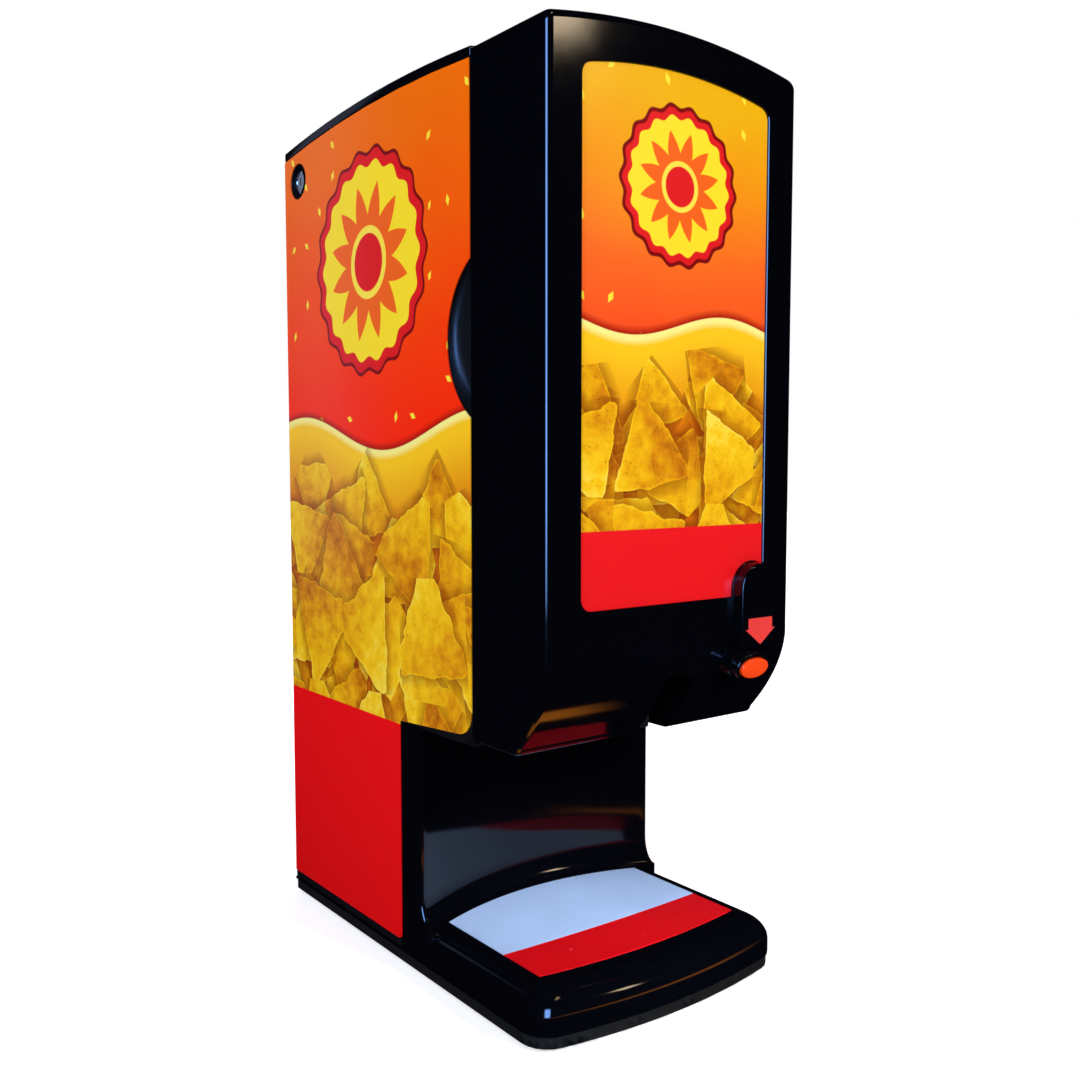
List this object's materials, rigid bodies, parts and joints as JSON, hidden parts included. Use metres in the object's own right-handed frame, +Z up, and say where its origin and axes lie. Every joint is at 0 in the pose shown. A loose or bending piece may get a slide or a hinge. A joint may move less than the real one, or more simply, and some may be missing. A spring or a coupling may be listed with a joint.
{
  "type": "cheese dispenser",
  "caption": "Upright countertop hot cheese dispenser with a hinged lit door, push button, roller pump and a tray rest under the spout.",
  "frame": {"origin": "centre of the bounding box's underside, on the surface that the feet stand on", "axes": "+Z up, -Y out of the door, +X to the right seen from the front"},
  "size_m": [0.247, 0.4112, 0.7221],
  "materials": {
    "gloss_black": "high-gloss moulded plastic",
    "satin_black": "satin moulded plastic",
    "painted_black": "semi-gloss powder coat on sheet steel",
    "pan_grey": "matt moulded plastic",
    "rubber": "matt moulded rubber",
    "tray_blue": "smooth plastic insert, softly reflecting",
    "tray_red": "gloss printed band",
    "side_print": "gloss printed film, yellow to red",
    "front_print": "gloss printed light panel, yellow to red",
    "button_orange": "gloss moulded plastic",
    "stainless": "brushed",
    "zinc_steel": "zinc plated",
    "chrome": "polished",
    "aluminium": "satin",
    "brass": "turned",
    "foam": "fibre insulation",
    "white_plastic": "satin moulded plastic",
    "clear_plastic": "clear moulded plastic",
    "board_green": "circuit board"
  },
  "bodies": {
    "cabinet": {"base_pan": "pan_grey", "foot_front_left": "rubber", "foot_rear_left": "rubber", "foot_front_right": "rubber", "foot_rear_right": "rubber", "base_cover": "gloss_black", "tray_plate": "tray_blue", "tray_front_band": "tray_red", "column_front": "gloss_black", "top_cover": "gloss_black", "left_side_panel": "painted_black", "right_side_panel": "painted_black", "left_graphic": "side_print", "right_graphic": "side_print", "finger_well": "satin_black", "face_frame": "painted_black", "magnet_catch": "satin_black", "case_deck": "painted_black", "rear_panel": "painted_black", "food_chamber_liner": "stainless", "bag_ramp": "stainless", "insulation_jacket": "foam", "heater_plate": "aluminium", "thermostat": "aluminium", "fan_frame": "satin_black", "pump_housing": "white_plastic", "pump_cover": "clear_plastic", "pump_thumb_screw": "chrome", "rotor_bush": "brass", "pump_mount_plate": "zinc_steel", "gear_motor": "zinc_steel", "spout_guide": "satin_black", "hinge_plate_top": "zinc_steel", "hinge_plate_bottom": "zinc_steel", "lock_cup": "satin_black", "lock_barrel": "chrome", "power_inlet": "satin_black", "power_supply": "aluminium", "control_board": "board_green"},
    "door": {"door_shell": "gloss_black", "front_graphic": "front_print", "push_plate": "gloss_black", "light_tray": "white_plastic", "led_board": "board_green", "door_inner_panel": "painted_black", "door_gasket": "rubber", "hinge_bush_top": "white_plastic", "hinge_bush_bottom": "white_plastic", "button_barrel": "gloss_black", "micro_switch": "satin_black"},
    "push_button": {"push_button": "button_orange", "button_spring": "zinc_steel"},
    "lock_cylinder": {"lock_plug": "chrome", "lock_cam": "zinc_steel"},
    "pump_rotor": {"pump_rotor": "aluminium"},
    "pump_roller_1": {"pump_roller_1": "white_plastic"},
    "pump_roller_2": {"pump_roller_2": "white_plastic"},
    "pump_roller_3": {"pump_roller_3": "white_plastic"},
    "fan_rotor": {"fan_rotor": "satin_black"},
    "switch_rocker": {"switch_rocker": "gloss_black"}
  },
  "joints": [
    {"name": "door_hinge", "type": "hinge", "parent": "cabinet", "child": "door", "pos_m": [0.1155, -0.11043, 0.471], "axis": [0, 0, 1], "range_deg": [0, 90]},
    {"name": "button_press", "type": "slide", "parent": "door", "child": "push_button", "axis": [0, 0.9659, 0.2588], "range_m": [0, 0.0035], "stiffness_N_per_m": 400, "springref_m": -0.004, "deforming": ["button_spring"]},
    {"name": "lock_turn", "type": "hinge", "parent": "cabinet", "child": "lock_cylinder", "pos_m": [-0.112, 0.17757, 0.666], "axis": [1, 0, 0], "range_deg": [0, 90]},
    {"name": "pump_spin", "type": "hinge", "parent": "cabinet", "child": "pump_rotor", "pos_m": [0.034, -0.07043, 0.273], "axis": [0, 1, 0], "continuous": true},
    {"name": "roller_spin_1", "type": "hinge", "parent": "pump_rotor", "child": "pump_roller_1", "pos_m": [0.034, -0.07143, 0.292], "axis": [0, 1, 0], "continuous": true},
    {"name": "roller_spin_2", "type": "hinge", "parent": "pump_rotor", "child": "pump_roller_2", "pos_m": [0.01755, -0.07143, 0.2635], "axis": [0, 1, 0], "continuous": true},
    {"name": "roller_spin_3", "type": "hinge", "parent": "pump_rotor", "child": "pump_roller_3", "pos_m": [0.05045, -0.07143, 0.2635], "axis": [0, 1, 0], "continuous": true},
    {"name": "fan_spin", "type": "hinge", "parent": "cabinet", "child": "fan_rotor", "pos_m": [0, 0.11657, 0.581], "axis": [0, 1, 0], "continuous": true},
    {"name": "switch_rock", "type": "hinge", "parent": "cabinet", "child": "switch_rocker", "pos_m": [0.065, 0.19937, 0.0975], "axis": [1, 0, 0], "range_deg": [0, 18]}
  ],
  "couplings": [
    {"joint": "roller_spin_1", "follows": "pump_spin", "ratio": -3.7143},
    {"joint": "roller_spin_2", "follows": "pump_spin", "ratio": -3.7143},
    {"joint": "roller_spin_3", "follows": "pump_spin", "ratio": -3.7143}
  ]
}
